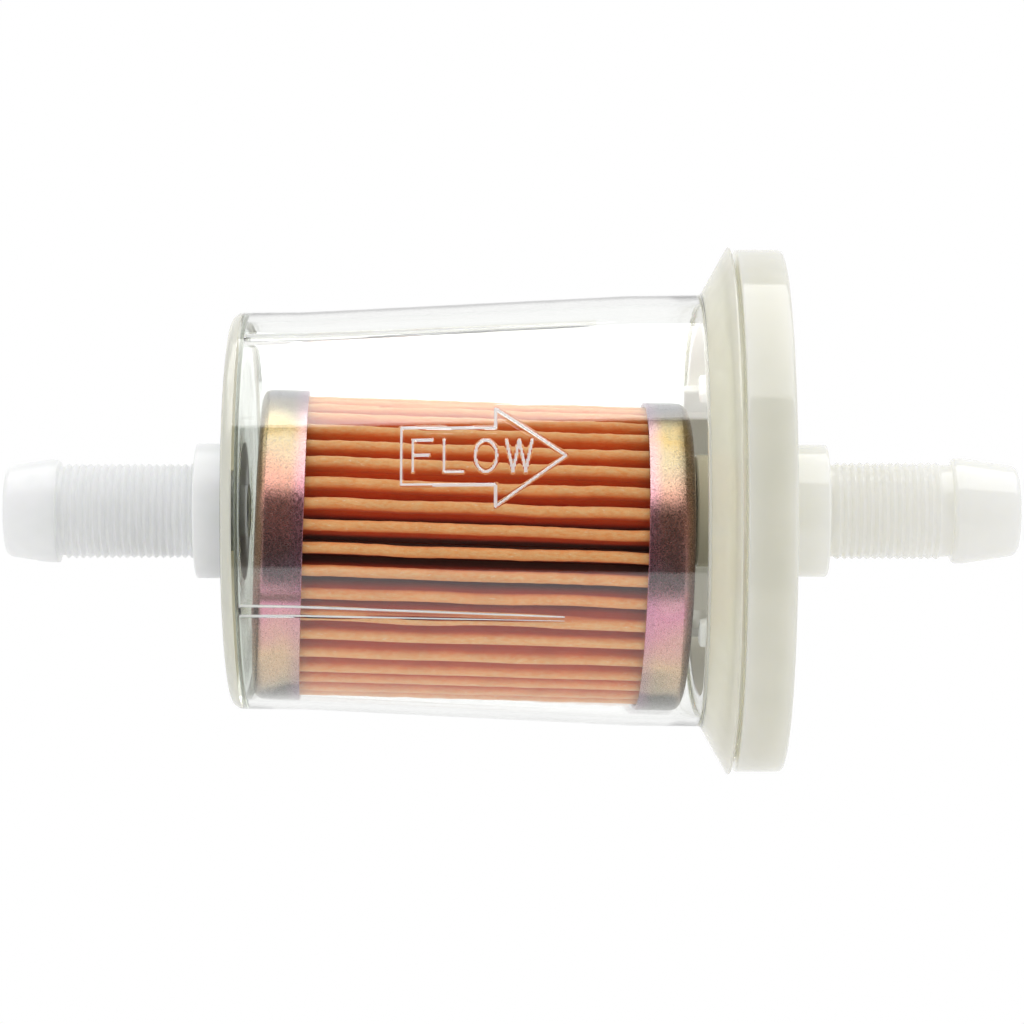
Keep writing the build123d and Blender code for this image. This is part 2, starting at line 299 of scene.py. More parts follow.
class Nodes(Tree):
    """One material's node tree."""

    def __init__(self, name):
        self.material = bpy.data.materials.new(name)
        self.material.use_nodes = True
        super().__init__(self.material.node_tree)
        self.output = self.add("OutputMaterial")
        self.place = self.add("TexCoord").outputs["Object"]

    def axes(self):
        """X, Y and Z in the piece's own frame."""
        return self.add("SeparateXYZ", {"Vector": self.place}).outputs

    def radius(self):
        """Distance from the piece's own X axis."""
        across = self.add("Mapping", {"Vector": self.place, "Scale": (0.0, 1.0, 1.0)}).outputs[0]
        return self.add("VectorMath", {0: across}, operation="LENGTH").outputs["Value"]

    def noise(self, size, detail=3, rough=0.55, vector=None, distortion=0):
        """Noise whose features are about size millimetres across."""
        settings = {
            "Vector": self.place if vector is None else vector,
            "Scale": 1 / (size * MM),
            "Detail": detail,
            "Roughness": rough,
            "Distortion": distortion,
        }
        return self.add("TexNoise", settings).outputs["Fac"]

    def ramp(self, value, stops):
        """Colours along a value. stops are (position, colour) pairs."""
        node = self.add("ValToRGB", {"Fac": value})
        elements = node.color_ramp.elements
        while len(elements) < len(stops):
            elements.new(0.5)
        for element, (position, colour) in zip(elements, stops):
            element.position = position
            element.color = (*colour, 1)
        return node.outputs["Color"]

    def mix(self, factor, first, second, blend="MIX"):
        """Goes from the first colour to the second with the factor."""
        inputs = {0: factor, 6: first, 7: second}
        return self.add("Mix", inputs, data_type="RGBA", blend_type=blend).outputs[2]

    def bump(self, height, depth, normal=None):
        """A bump of depth millimetres."""
        inputs = {"Height": height, "Strength": 1.0, "Distance": depth * MM}
        if normal is not None:
            inputs["Normal"] = normal
        return self.add("Bump", inputs).outputs["Normal"]

    def principled(self, inputs):
        """The main surface shader."""
        return self.add("BsdfPrincipled", inputs).outputs["BSDF"]

    def see_through(self, shader):
        """Finishes clear plastic. Light from lamps goes straight through it to what is inside."""
        open_way = self.add("BsdfTransparent", {"Color": (0.95, 0.96, 0.95, 1)}).outputs[0]
        path = self.add("LightPath").outputs
        for kind in ("Is Diffuse Ray", "Is Shadow Ray"):
            shader = self.add("MixShader", {0: path[kind], 1: shader, 2: open_way}).outputs[0]
        tint = self.add("VolumeAbsorption", {"Color": (0.5, 0.5, 0.2, 1), "Density": 14.0})
        self.tree.links.new(tint.outputs[0], self.output.inputs["Volume"])
        return self.finish(shader)

    def finish(self, shader):
        """Sends the shader to the material's output."""
        self.tree.links.new(shader, self.output.inputs["Surface"])
        return self.material


PLASTIC_IOR = 1.57
CLEAR_COLOUR = (0.985, 0.99, 0.985)

# How far light spreads inside cloudy plastic, by colour and in metres
CLOUDY = {
    "Subsurface Weight": 1.0,
    "Subsurface Radius": (1.0, 1.0, 0.9),
    "Subsurface Scale": 0.004,
}


def clear_plastic():
    """Clear polished plastic with a faint straw tint that shows in its thick edges."""
    n = Nodes("clear_plastic")
    glass = n.principled({
        "Base Color": (*CLEAR_COLOUR, 1),
        "Roughness": 0.015,
        "IOR": PLASTIC_IOR,
        "Transmission Weight": 1.0,
        "Normal": n.bump(n.noise(9.0, detail=1), 0.008),
    })
    return n.see_through(glass)


def hazy_plastic(name, clear, colour, roughness=0.12, ior=PLASTIC_IOR):
    """The same plastic where it is thick or rough and cloudy. clear is how much shows through."""
    n = Nodes(name)
    cloud = n.noise(3.0, detail=2)
    dark = tuple(0.95 * c for c in colour)
    shader = n.principled({
        "Base Color": n.ramp(cloud, [(0.3, dark), (0.7, colour)]),
        "Roughness": roughness,
        "IOR": ior,
        "Transmission Weight": clear,
        **CLOUDY,
        "Normal": n.bump(cloud, 0.01),
    })
    return n.see_through(shader) if clear > 0 else n.finish(shader)


def rib_highlight_plastic():
    """The bowl's plastic along its inner ribs, with thin pale lines painted along the rib edges as
    painted highlights.
    """
    n = Nodes("rib_highlight_plastic")
    where = n.axes()
    floor, end = BOWL_FLOOR, RIBS[2][1]

    # Distance round the wall from the middle of the nearest rib
    half_pitch = RIB_PITCH / 2
    turn = n.math("ARCTAN2", where["Z"], n.math("MULTIPLY", where["Y"], -1.0))
    turn = n.math("ADD", turn, math.radians(half_pitch - RIBS[0][0]))
    turn = n.math("FLOORED_MODULO", turn, math.radians(RIB_PITCH))
    turn = n.math("SUBTRACT", turn, math.radians(half_pitch))
    side = n.math("MULTIPLY", turn, bowl_inner(0) * MM)

    # Distance from the rib's edge line, and the line's own half width there
    half_width = RIB_HALF_WIDTH * MM
    end_width = rib_width(end, 0) * half_width
    reach = n.span_mm(where["X"], floor, end, half_width, end_width, smooth=False)
    away = n.math("SUBTRACT", n.math("ABSOLUTE", side), reach)
    away = n.math("ABSOLUTE", n.math("SUBTRACT", away, 0.04 * MM))
    wide = n.span_mm(side, -0.1, 0.1, 0.08 * MM, 0.19 * MM)
    wide = n.math("MULTIPLY", wide, n.span_mm(where["X"], floor, end, 1.0, 0.35, smooth=False))
    line = n.span(n.math("DIVIDE", away, wide), 0.7, 1.3, 1, 0)

    # Painted highlight: along each rib edge line the clear plastic turns white and cloudy.
    shader = n.principled({
        "Base Color": n.ramp(line, [(0.0, CLEAR_COLOUR), (1.0, (1.0, 0.99, 0.96))]),
        "Roughness": 0.03,
        "IOR": PLASTIC_IOR,
        "Transmission Weight": n.span(line, 0, 1, 1.0, 0.05, smooth=False),
        **CLOUDY,
    })
    return n.see_through(shader)


def milky_nylon():
    """Waxy cream moulding that light soaks into. It is painted paler where it is thin and inside
    the spigot's pocket, as painted light shining through the nylon.
    """
    n = Nodes("milky_nylon")
    cloud = n.noise(6.0, detail=2)
    grain = n.noise(0.25)
    radius = n.radius()
    # Painted light: thin walls, such as the nipples', get a paler colour for the light that shines
    # through them from behind.
    thin = n.ramp(cloud, [(0.3, (0.88, 0.88, 0.82)), (0.7, (0.93, 0.93, 0.87))])
    thick = n.ramp(cloud, [(0.3, (0.67, 0.665, 0.59)), (0.7, (0.71, 0.70, 0.625))])
    colour = n.mix(n.span_mm(radius, 5.2, 7.5, 0, 1), thin, thick)

    # The pocket inside the spigot and the stub in its middle are painted paler than the rest, as
    # painted light soaking through the nylon into the recess; the stub is also tinted yellower.
    pocket = n.math(
        "MULTIPLY",
        n.span_mm(radius, SPIGOT_INNER_R + 0.3, SPIGOT_INNER_R + 0.7, 1, 0),
        n.span_mm(n.axes()["X"], DISC_START + 0.1, DISC_START + 0.5, 1, 0),
    )
    off_stub = n.span_mm(radius, 5.0, 5.6, 0, 1)
    inner = n.ramp(off_stub, [(0.0, (0.96, 0.89, 0.70)), (1.0, (0.96, 0.96, 0.92))])

    shader = n.principled({
        "Base Color": n.mix(pocket, colour, inner),
        "Roughness": n.span(grain, 0.3, 0.7, 0.05, 0.09),
        "IOR": 1.42,
        "Subsurface Weight": n.span(pocket, 0, 1, 1.0, 0.1),
        "Subsurface Radius": (1.0, 0.97, 0.85),
        "Subsurface Scale": 0.005,
        "Normal": n.bump(grain, 0.004, n.bump(cloud, 0.02)),
    })
    through = n.add("BsdfTransparent", {"Color": (1.0, 0.96, 0.84, 1)}).outputs[0]
    soft = n.add("MixShader", {0: 0.88, 1: shader, 2: through}).outputs[0]
    shadow = n.add("LightPath").outputs["Is Shadow Ray"]
    return n.finish(n.add("MixShader", {0: shadow, 1: shader, 2: soft}).outputs[0])


# The plating's colours by height, from the bottom of a cap to its top. The gold, pink and lilac
# tints are the plating's own; the bright and dark bands are painted reflections of the studio's
# bright and dim parts.
PLATING_AND_REFLECTIONS = (
    (0.07, (0.09, 0.09, 0.07)),
    (0.10, (0.50, 0.42, 0.30)),
    (0.17, (0.85, 0.60, 0.40)),
    (0.27, (0.80, 0.42, 0.42)),
    (0.34, (0.80, 0.33, 0.46)),
    (0.40, (0.88, 0.44, 0.52)),
    (0.445, (0.66, 0.42, 0.50)),
    (0.50, (0.50, 0.26, 0.26)),
    (0.62, (0.48, 0.22, 0.19)),
    (0.70, (0.37, 0.20, 0.15)),
    (0.76, (0.35, 0.26, 0.18)),
    (0.82, (0.34, 0.28, 0.18)),
    (0.87, (0.34, 0.25, 0.11)),
    (0.90, (0.26, 0.22, 0.13)),
    (0.935, (0.11, 0.09, 0.06)),
    (0.965, (0.01, 0.015, 0.03)),
)


def plated_steel():
    """Bright yellow iridescent plating, tinted gold, pink and lilac, with painted reflections laid
    over it in bands by height.
    """
    n = Nodes("plated_steel")
    where = n.axes()
    patch = n.noise(7.0, detail=2, distortion=0.3)
    patch = n.span(patch, 0.25, 0.75, -0.12, 0.12, smooth=False)
    height = n.math("DIVIDE", where["Z"], CAP_R * MM)
    height = n.span(n.math("ADD", height, patch), -1, 1, 0, 1, smooth=False)
    film_and_reflection = n.ramp(height, PLATING_AND_REFLECTIONS)

    # Along the cap the tint turns lilac towards its mouth, and the rolled corner is painted brown
    # as a painted dark reflection.
    outward = n.math("SUBTRACT", n.math("ABSOLUTE", where["X"]), CAP_MIDDLE * MM)
    outward = n.math("ADD", outward, n.math("MULTIPLY", patch, 1.5 * MM))
    film_and_reflection = n.mix(n.span_mm(outward, -2.0, -0.6, 0.3, 0), film_and_reflection, (0.55, 0.24, 0.46, 1))
    film_and_reflection = n.mix(n.span_mm(outward, 1.1, 1.7, 0, 0.8), film_and_reflection, (0.20, 0.13, 0.07, 1))

    speckle = n.noise(0.15, detail=2)
    return n.finish(n.principled({
        "Base Color": n.mix(n.span(speckle, 0.56, 0.72, 0, 0.4), film_and_reflection, (0.16, 0.11, 0.09, 1)),
        "Metallic": 1.0,
        "Roughness": n.span(speckle, 0.35, 0.7, 0.2, 0.34),
        "Normal": n.bump(n.noise(0.22, detail=2), 0.006),
    }))


def filter_paper():
    """Resin-treated paper, fibrous and matt, with painted shade that makes it redder and darker
    down in the pleats.
    """
    n = Nodes("filter_paper")
    long_fibre = n.add("Mapping", {"Vector": n.place, "Scale": (0.35, 1.0, 1.0)}).outputs[0]
    fibre = n.noise(0.22, detail=4, rough=0.65, vector=long_fibre)
    colour = n.ramp(fibre, [(0.3, (1.0, 0.38, 0.11)), (0.7, (1.0, 0.60, 0.28))])
    fuzz = n.span(n.noise(0.13, detail=1, vector=long_fibre), 0.66, 0.74, 0, 0.45)
    colour = n.mix(fuzz, colour, (1.0, 0.80, 0.62, 1))
    tone = n.ramp(n.noise(3.0, detail=2), [(0.3, (0.90, 0.88, 0.86)), (0.7, (1.0, 1.0, 1.0))])
    # Painted shade: the colour darkens and reddens from the ridge tops down into the folds.
    depth = n.span_mm(n.radius(), PLEAT_SHADE_R, PLEAT_OUTER_R, 0, 1, smooth=False)
    deep = n.ramp(depth, [
        (0.0, (0.3, 0.1, 0.05)),
        (0.35, (0.9, 0.28, 0.08)),
        (0.80, (1.0, 0.50, 0.20)),
        (0.97, (1, 1, 1)),
    ])
    for layer in (tone, deep):
        colour = n.mix(1.0, colour, layer, blend="MULTIPLY")
    return n.finish(n.principled({
        "Base Color": colour,
        "Roughness": 0.85,
        "Sheen Weight": 0.22,
        "Sheen Roughness": 0.5,
        "Sheen Tint": (1.0, 0.82, 0.66, 1),
        "Normal": n.bump(fibre, 0.05),
    }))


def plain_finish(name, dark, light, grain_size, bump, roughness, metallic=0.0):
    """A simple mottled finish for the pieces hidden inside the element."""
    n = Nodes(name)
    grain = n.noise(grain_size)
    return n.finish(n.principled({
        "Base Color": n.ramp(grain, [(0.3, dark), (0.7, light)]),
        "Metallic": metallic,
        "Roughness": n.span(grain, 0.3, 0.7, roughness * 0.85, roughness * 1.15),
        "Normal": n.bump(grain, bump),
    }))


def floor_finish():
    """Plain pale floor."""
    n = Nodes("pale_floor")
    cloud = n.noise(60.0)
    return n.finish(n.principled({
        "Base Color": n.ramp(cloud, [(0.3, (0.88, 0.88, 0.88)), (0.7, (0.91, 0.91, 0.91))]),
        "Roughness": 0.9,
    }))


# ---- Housing ---------------------------------------------------------------------


def ridged(x, r, spec):
    """Radius with a run of rounded ridges added outside the bore."""
    start, end, count, root, crest = spec
    flank, ease = RIDGE_ROUND
    phase = (x - start) / (end - start) * count
    rise = 1 - np.abs(2 * (phase % 1) - 1)
    rise = np.where(rise > flank, flank + (rise - flank) * ease, rise)
    among = (x > start) & (x < end) & (r > BORE_R + 1)
    return np.where(among, root + (crest - root) * rise, r)


def ring_of_strokes(u, v, a, b, count):
    """A closed ring of short segments about (u, v)."""
    angles = np.linspace(0, 2 * np.pi, count + 1)
    points = [(u + a * math.cos(t), v + b * math.sin(t)) for t in angles]
    return list(zip(points[:-1], points[1:]))


def mark_strokes():
    """The flow mark as (start, end) strokes, where points are (x, distance round the wall)."""
    middle = 4.55
    tail, neck, tip = -9.05, -1.35, 4.4
    shaft, head = 2.42, 4.2
    arrow = [
        (tail, middle - shaft), (neck, middle - shaft), (neck, middle - head),
        (tip, middle), (neck, middle + head), (neck, middle + shaft), (tail, middle + shaft),
    ]
    strokes = list(zip(arrow, arrow[1:] + arrow[:1]))
    left, pitch, wide, high = -8.1, 2.55, 1.75, 2.7
    base = middle - high / 2
    # Strokes of F, L, O and W, where 1 is a letter's height and about its width
    letters = [
        [((0, 0), (0, 1)), ((0, 1), (0.9, 1)), ((0, 0.52), (0.75, 0.52))],
        [((0, 0), (0, 1)), ((0, 0), (0.9, 0))],
        ring_of_strokes(0.5, 0.5, 0.5, 0.5, 24),
        [((0, 1), (0.3, 0)), ((0.3, 0), (0.6, 1)), ((0.6, 1), (0.9, 0)), ((0.9, 0), (1.2, 1))],
    ]
    for i, lines in enumerate(letters):
        for line in lines:
            strokes.append([(left + i * pitch + u * wide, base + v * high) for u, v in line])
    return strokes


def mark_height(x, s):
    """Height of the raised mark at x and at distance s round the wall."""
    height = np.zeros(x.shape)
    for (ax, ay), (bx, by) in mark_strokes():
        dx, dy = bx - ax, by - ay
        t = np.clip(((x - ax) * dx + (s - ay) * dy) / (dx * dx + dy * dy), 0, 1)
        away = np.hypot(x - ax - t * dx, s - ay - t * dy) / MARK_HALF_WIDTH
        height = np.maximum(height, MARK_HEIGHT * np.clip(1 - away ** 2, 0, 1) ** 1.5)
    return height


def rib_width(x, end):
    """A rib's width at x as a share of its widest."""
    return RIB_TAPER + (1 - RIB_TAPER) * np.clip((end - x) / (end - BOWL_FLOOR), 0, 1)


def bowl_shift(x, r, turn):
    """Adds the ridges, the raised mark and the inner ribs to the bowl's plain radii."""
    r = ridged(x, r, RIDGES_IN)
    wall = (x > BOWL_FLOOR + WALL_MARGIN) & (x < FLARE_START - WALL_MARGIN)
    outer = wall & (np.abs(r - bowl_outer(x)) < NEAR_WALL)
    inner = wall & (np.abs(r - bowl_inner(x)) < NEAR_WALL)
    r = np.where(outer, r + mark_height(x, np.radians(turn) * bowl_outer(x)), r)
    for angle, end in RIBS:
        left = np.clip((end - x) / (end - BOWL_FLOOR), 0, 1)
        side = np.abs((turn - angle + 180) % 360 - 180)
        side = np.radians(side) * bowl_inner(x)
        width = RIB_HALF_WIDTH * rib_width(x, end)
        rib = RIB_HEIGHT * left * smoothstep((width + RIB_EDGE - side) / RIB_EDGE)
        r = np.where(inner, r - rib, r)
    return r


def ridge_corners(spec):
    """Plain outline corners along a ridged stretch, four to each ridge."""
    start, end, count, root, _ = spec
    return [(x, root, 0) for x in np.linspace(start, end, count * 4 + 1)]


def bowl_step(x, r):
    """Longest straight run of the bowl's outline near (x, r)."""
    in_mark = MARK_X[0] < x < MARK_X[1] and r > bowl_outer(x) - 0.2
    return MARK_STEP if in_mark else 3.0


def make_bowl():
    """Clear bowl with its inlet nipple, one closed surface."""
    mouth_r = bowl_outer(FLARE_START)
    lip_start = FLARE_START + (LIP_R - mouth_r) / FLARE_SLOPE
    flare_in = FLARE_START + FLARE_WALL * math.hypot(1, FLARE_SLOPE) / FLARE_SLOPE
    outline = rounded(
        [
            (-HALF_LENGTH, BORE_R + BORE_BREAK, 0.1),
            (-HALF_LENGTH, IN_TIP_R, 0.7),
            (-39.95, IN_BARB_R, 1.5),
            (-38.95, IN_BARB_R, 0.1),
            (-38.85, IN_NECK_R, 0.1),
            *ridge_corners(RIDGES_IN),
            (IN_COLLAR_X, IN_NECK_R, 0.04),
            (IN_COLLAR_X, IN_COLLAR_R, 0.2),
            (BOWL_END, IN_COLLAR_R, 0.3),
            (BOWL_END, bowl_outer(BOWL_END), 1.0),
            (CONE_START, bowl_outer(CONE_START), 6.0),
            (CONE_END, bowl_outer(CONE_END), 6.0),
            (FLARE_START, mouth_r, 0.4),
            (lip_start, LIP_R, 0.08),
            (lip_start + LIP_EDGE, LIP_R, 0.08),
            (RIM_START, LIP_SEAT_R, 0.2),
            (RIM_START, POCKET_R, 0.05),
            (flare_in + (POCKET_R - mouth_r) / FLARE_SLOPE, POCKET_R, 0.15),
            (flare_in - BOWL_WALL / FLARE_SLOPE, mouth_r - BOWL_WALL, 0.4),
            (CONE_END, bowl_inner(CONE_END), 6.0),
            (CONE_START, bowl_inner(CONE_START), 6.0),
            (BOWL_FLOOR, bowl_inner(BOWL_FLOOR), 0.45),
            (BOWL_FLOOR, BORE_R, 0.2),
            (BORE_BREAK - HALF_LENGTH, BORE_R, 0.1),
        ],
        step=20,
    )
    reach = math.degrees((RIB_HALF_WIDTH + 2 * RIB_EDGE) / bowl_inner(0))
    bands = [(angle - reach, angle + reach, RIB_STEP) for angle, _ in RIBS]
    bands.append((*MARK_ANGLES, math.degrees(MARK_STEP / bowl_outer(0))))
    angles = angle_stations(bands, BOWL_ANGLE_STEP)
    return turned("bowl_shell", refined(outline, bowl_step), angles, bowl_shift)


# The bowl's finishes, in the order of its material slots
CLEAR, HAZY, EDGE, FLANGE, MARK, END, RIB = range(7)


def bowl_finish(x, y, z):
    """Which of the bowl's finishes a face at (x, y, z) has."""
    r = math.hypot(y, z)
    turn = math.degrees(math.atan2(z, -y))
    if x < HAZY_END:
        return HAZY
    if x < BOWL_FLOOR and (r > bowl_inner(x) or r < IN_COLLAR_R + 0.2):
        return EDGE
    if x < BOWL_FLOOR + 0.3 and r < bowl_inner(x) + NEAR_WALL:
        return END
    if x > FLARE_START + 0.3 and r > bowl_outer(FLARE_START):
        return FLANGE
    for angle, end in RIBS:
        side = math.radians(abs(turn - angle)) * bowl_inner(x)
        on_rib = x < end and side < RIB_HALF_WIDTH + 2 * RIB_EDGE
        if on_rib and r < bowl_inner(x) + NEAR_WALL:
            return RIB
    in_mark = MARK_X[0] < x < MARK_X[1] and MARK_ANGLES[0] < turn < MARK_ANGLES[1]
    if in_mark and r > bowl_outer(x) + 0.3 * MARK_HEIGHT:
        return MARK
    return CLEAR


def cover_shift(x, r, turn):
    """Adds the ridges to the cover's plain radii."""
    return ridged(x, r, RIDGES_OUT)


def make_finger(angle):
    """A rounded centring finger at one angle round the cover, as a spare object."""
    bm = bmesh.new()
    bmesh.ops.create_cube(bm, size=1)
    bmesh.ops.scale(bm, vec=Vector(FINGER_SIZE) * MM, verts=bm.verts)
    bmesh.ops.bevel(bm, geom=bm.edges, offset=0.3 * MM, segments=3, affect="EDGES", profile=0.5)
    middle = Vector((FINGER_START + FINGER_SIZE[0] / 2, -FINGER_R, 0))
    bmesh.ops.translate(bm, verts=bm.verts, vec=middle * MM)
    turn = Matrix.Rotation(math.radians(-angle), 3, "X")
    bmesh.ops.rotate(bm, verts=bm.verts, cent=(0, 0, 0), matrix=turn)
    mesh = bpy.data.meshes.new("finger")
    bm.to_mesh(mesh)
    bm.free()
    return bpy.data.objects.new("finger", mesh)


def make_cover():
    """Milky end cover with its outlet nipple, its stub and its centring fingers."""
    outline = rounded(
        [
            (STUB_START, BORE_R, 0.1),
            (STUB_START, STUB_R, 0.3),
            (DISC_START, STUB_R, 0.4),
            (DISC_START, SPIGOT_INNER_R, 0.3),
            (SPIGOT_START, SPIGOT_INNER_R, 0.15),
            (SPIGOT_START, SPIGOT_R, 0.15),
            (PLUG_START, SPIGOT_R, 0.1),
            (PLUG_START, PLUG_R, 0.15),
            (RIM_START, PLUG_R, 0.05),
            (RIM_START, COVER_R, 0.2),
            (COVER_FACE, COVER_R, 0.4),
            (COVER_FACE, OUT_COLLAR_R, 0.3),
            (OUT_COLLAR_X, OUT_COLLAR_R, 0.25),
            (OUT_COLLAR_X, OUT_NECK_R, 0.1),
            *ridge_corners(RIDGES_OUT),
            (37.7, OUT_NECK_R, 0.1),
            (37.85, OUT_BARB_R, 0.4),
            (38.85, OUT_BARB_R, 1.2),
            (HALF_LENGTH, OUT_TIP_R, 1.1),
            (HALF_LENGTH, BORE_R + BORE_BREAK, 0.1),
            (HALF_LENGTH - BORE_BREAK, BORE_R, 0.1),
        ],
        step=11,
    )
    outline = refined(outline, lambda x, r: 2.5)
    body = turned("cover_body", outline, np.arange(-180, 180, 1.5), cover_shift)
    holder = bpy.data.objects.new("cover_union", body)
    fingers = [make_finger(angle) for angle in FINGER_ANGLES]
    for piece in (holder, *fingers):
        bpy.context.scene.collection.objects.link(piece)
    for finger in fingers:
        union = holder.modifiers.new("union", "BOOLEAN")
        union.operation, union.solver, union.object = "UNION", "EXACT", finger
    bpy.context.view_layer.update()
    evaluated = holder.evaluated_get(bpy.context.evaluated_depsgraph_get())
    joined = bpy.data.meshes.new_from_object(evaluated)
    for piece in (holder, *fingers):
        bpy.data.objects.remove(piece)
    return tidy(joined)


# ---- Element ---------------------------------------------------------------------


def element_place():
    """The element's own frame, from where the CAD's two caps lie."""
    def middle(node):
        low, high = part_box(node)
        return (low + high) / 2

    inlet, outlet = middle("inlet_cap"), middle("outlet_cap")
    run = outlet - inlet
    tilt = Matrix.Rotation(math.atan2(-run.z, run.x), 4, "Y")
    yaw = Matrix.Rotation(math.asin(run.y / run.length), 4, "Z")
    return Matrix.Translation((inlet + outlet) / 2) @ tilt @ yaw


def make_cap(side):
    """A pressed cap. side -1 is the closed inlet cap, +1 the outlet cap with its hole."""
    face, mouth = ELEMENT_HALF, ELEMENT_HALF - CAP_SKIRT
    inner_corner = CAP_CORNER_R - CAP_SHEET
    is_open = side > 0
    if is_open:
        middle_out = [(face, CAP_HOLE_R, 0.1)]
        middle_in = [(face - CAP_SHEET, CAP_HOLE_R, 0.1)]
    else:
        dish_r, depth = CAP_DISH
        floor = face - depth
        middle_out = [(floor, 0, 0), (floor, dish_r - depth, 0.4), (face, dish_r, 0.4)]
        middle_in = [(x - CAP_SHEET, r, radius) for x, r, radius in reversed(middle_out)]
    corners = [
        *middle_out,
        (face, CAP_R, CAP_CORNER_R),
        (mouth, CAP_R, 0.06),
        (mouth, CAP_R - CAP_SHEET, 0.06),
        (face - CAP_SHEET, CAP_R - CAP_SHEET, inner_corner),
        *middle_in,
    ]
    outline = rounded(corners, closed=is_open, step=9)
    outline = refined(outline, lambda x, r: 1.0, closed=is_open)
    outline[:, 0] *= side
    return turned("cap", outline, np.arange(-180, 180, 2.0), closed=is_open)


def half_turn(centre, start, radius, pieces):
    """Points on a half circle about a centre, turning clockwise from the direction start."""
    angles = start - np.linspace(0, np.pi, pieces)
    return centre + radius * np.stack([np.cos(angles), np.sin(angles)], -1)


def pleat_line(ridges, heights, valleys):
    """The paper's middle line at one station, from ridge angles, ridge radii and valley angles."""
    points = []
    for i in range(PLEATS):
        a, b = ridges[i], valleys[i]
        out = np.array((math.cos(a), math.sin(a)))
        top = out * (heights[i] - FOLD_R)
        fold = half_turn(top, a - np.pi / 2, -FOLD_R, 8)
        foot = VALLEY_R * np.array((math.cos(b), math.sin(b)))
        dip = half_turn(foot, b - np.pi / 2, VALLEY_FOLD_R, 5)
        c, next_r = ridges[(i + 1) % PLEATS], heights[(i + 1) % PLEATS] - FOLD_R
        next_top = next_r * np.array((math.cos(c), math.sin(c)))
        next_side = next_top + FOLD_R * np.array((math.sin(c), -math.cos(c)))
        along = np.linspace(0, 1, 4)[1:-1, None]
        down = fold[-1] + (dip[0] - fold[-1]) * along
        up = dip[-1] + (next_side - dip[-1]) * along
        points += [fold, down, dip, up]
    return np.concatenate(points)


def make_paper():
    """The pleated paper, a closed sheet with slightly uneven folds."""
    rng = np.random.default_rng(7)
    step = 2 * np.pi / PLEATS
    base = np.arange(PLEATS) * step
    lean = np.radians(rng.normal(0, 0.5, PLEATS))
    height = PLEAT_OUTER_R - PAPER / 2 - rng.uniform(0.0, 0.16, PLEATS)
    waves = np.array((0.7, 1.7, 2.9))
    size = np.radians(rng.uniform(0.03, 0.28, (PLEATS, 3)))
    phase = rng.uniform(0, 2 * np.pi, (PLEATS, 3))
    crinkle = rng.uniform(-1, 1, (PLEATS, PAPER_STATIONS))
    crinkle = (crinkle + np.roll(crinkle, 1, axis=1)) / 2
    valleys = base + step / 2 + (lean + np.roll(lean, -1)) / 2
    lines = []
    xs = np.linspace(-PAPER_HALF, PAPER_HALF, PAPER_STATIONS)
    for x, stray in zip(xs, crinkle.T):
        # The folds are held straight near the caps, where the potting grips them
        free = 1 - 0.75 * smoothstep((abs(x) - 12.5) / 3.5)
        sway = (size * np.sin(waves * np.pi * (x / PAPER_HALF + 1) + phase)).sum(axis=1) * free
        ridges = base + lean + sway + np.radians(CRINKLE_TURN) * stray
        lines.append(pleat_line(ridges, height + CRINKLE_R * stray, valleys))
    lines = np.array(lines)
    tangent = np.roll(lines, -1, axis=1) - np.roll(lines, 1, axis=1)
    tangent /= np.linalg.norm(tangent, axis=2, keepdims=True)
    normal = np.stack([tangent[..., 1], -tangent[..., 0]], -1)
    outer, inner = lines + normal * PAPER / 2, lines - normal * PAPER / 2
    x_grid = np.repeat(xs[:, None], lines.shape[1], axis=1)
    shell = np.concatenate([outer, inner[::-1]])
    x_shell = np.concatenate([x_grid, x_grid[::-1]])
    points = np.stack([x_shell, -shell[..., 0], shell[..., 1]], -1)
    return tidy(grid_mesh("paper", points, wrap_rows=True), sharp_angle=60)


# ---- Build -----------------------------------------------------------------------

clear = clear_plastic()
milky = milky_nylon()
plated = plated_steel()
paper = filter_paper()

bowl = place("bowl_shell", make_bowl(), "housing", clear, ["bowl"])
for material in (               # in the order HAZY to RIB
    hazy_plastic("hazy_plastic", 0.0, (0.93, 0.95, 0.93), roughness=0.3),
    hazy_plastic("edge_plastic", 0.3, (1.0, 0.95, 0.74)),
    hazy_plastic("flange_plastic", 0.45, (1.0, 0.94, 0.74)),
    hazy_plastic("mark_plastic", 0.1, (1.0, 0.99, 0.98)),
    hazy_plastic("end_plastic", 0.95, (0.70, 0.75, 0.70), ior=1.03),
    rib_highlight_plastic(),
):
    bowl.data.materials.append(material)
for face in bowl.data.polygons:
    face.material_index = bowl_finish(*(face.center / MM))
place("cover_body", make_cover(), "housing", milky, ["end_cover"])

lying = element_place()
place("cap_closed", make_cap(-1), "element", plated, ["inlet_cap"], lying)
place("cap_open", make_cap(1), "element", plated, ["outlet_cap"], lying)
place("paper_pleats", make_paper(), "element", paper, ["pleated_paper"], lying)

potting = plain_finish(
    "potting", dark=(0.16, 0.10, 0.06), light=(0.24, 0.16, 0.10),
    grain_size=1.2, bump=0.03, roughness=0.5,
)
core_steel = plain_finish(
    "core_steel", dark=(0.45, 0.45, 0.44), light=(0.62, 0.62, 0.60),
    grain_size=0.4, bump=0.005, roughness=0.3, metallic=1.0,
)
black_rubber = plain_finish(
    "black_rubber", dark=(0.02, 0.02, 0.02), light=(0.04, 0.04, 0.04),
    grain_size=0.3, bump=0.01, roughness=0.6,
)
carried = {
    "inlet_potting": potting,
    "outlet_potting": potting,
    "seam_clip": core_steel,
    "center_tube": core_steel,
    "outlet_grommet": black_rubber,
}
for node, material in carried.items():
    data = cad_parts[node].data
    data.materials.clear()
    data.materials.append(material)

# ---- Camera, light and floor -----------------------------------------------------


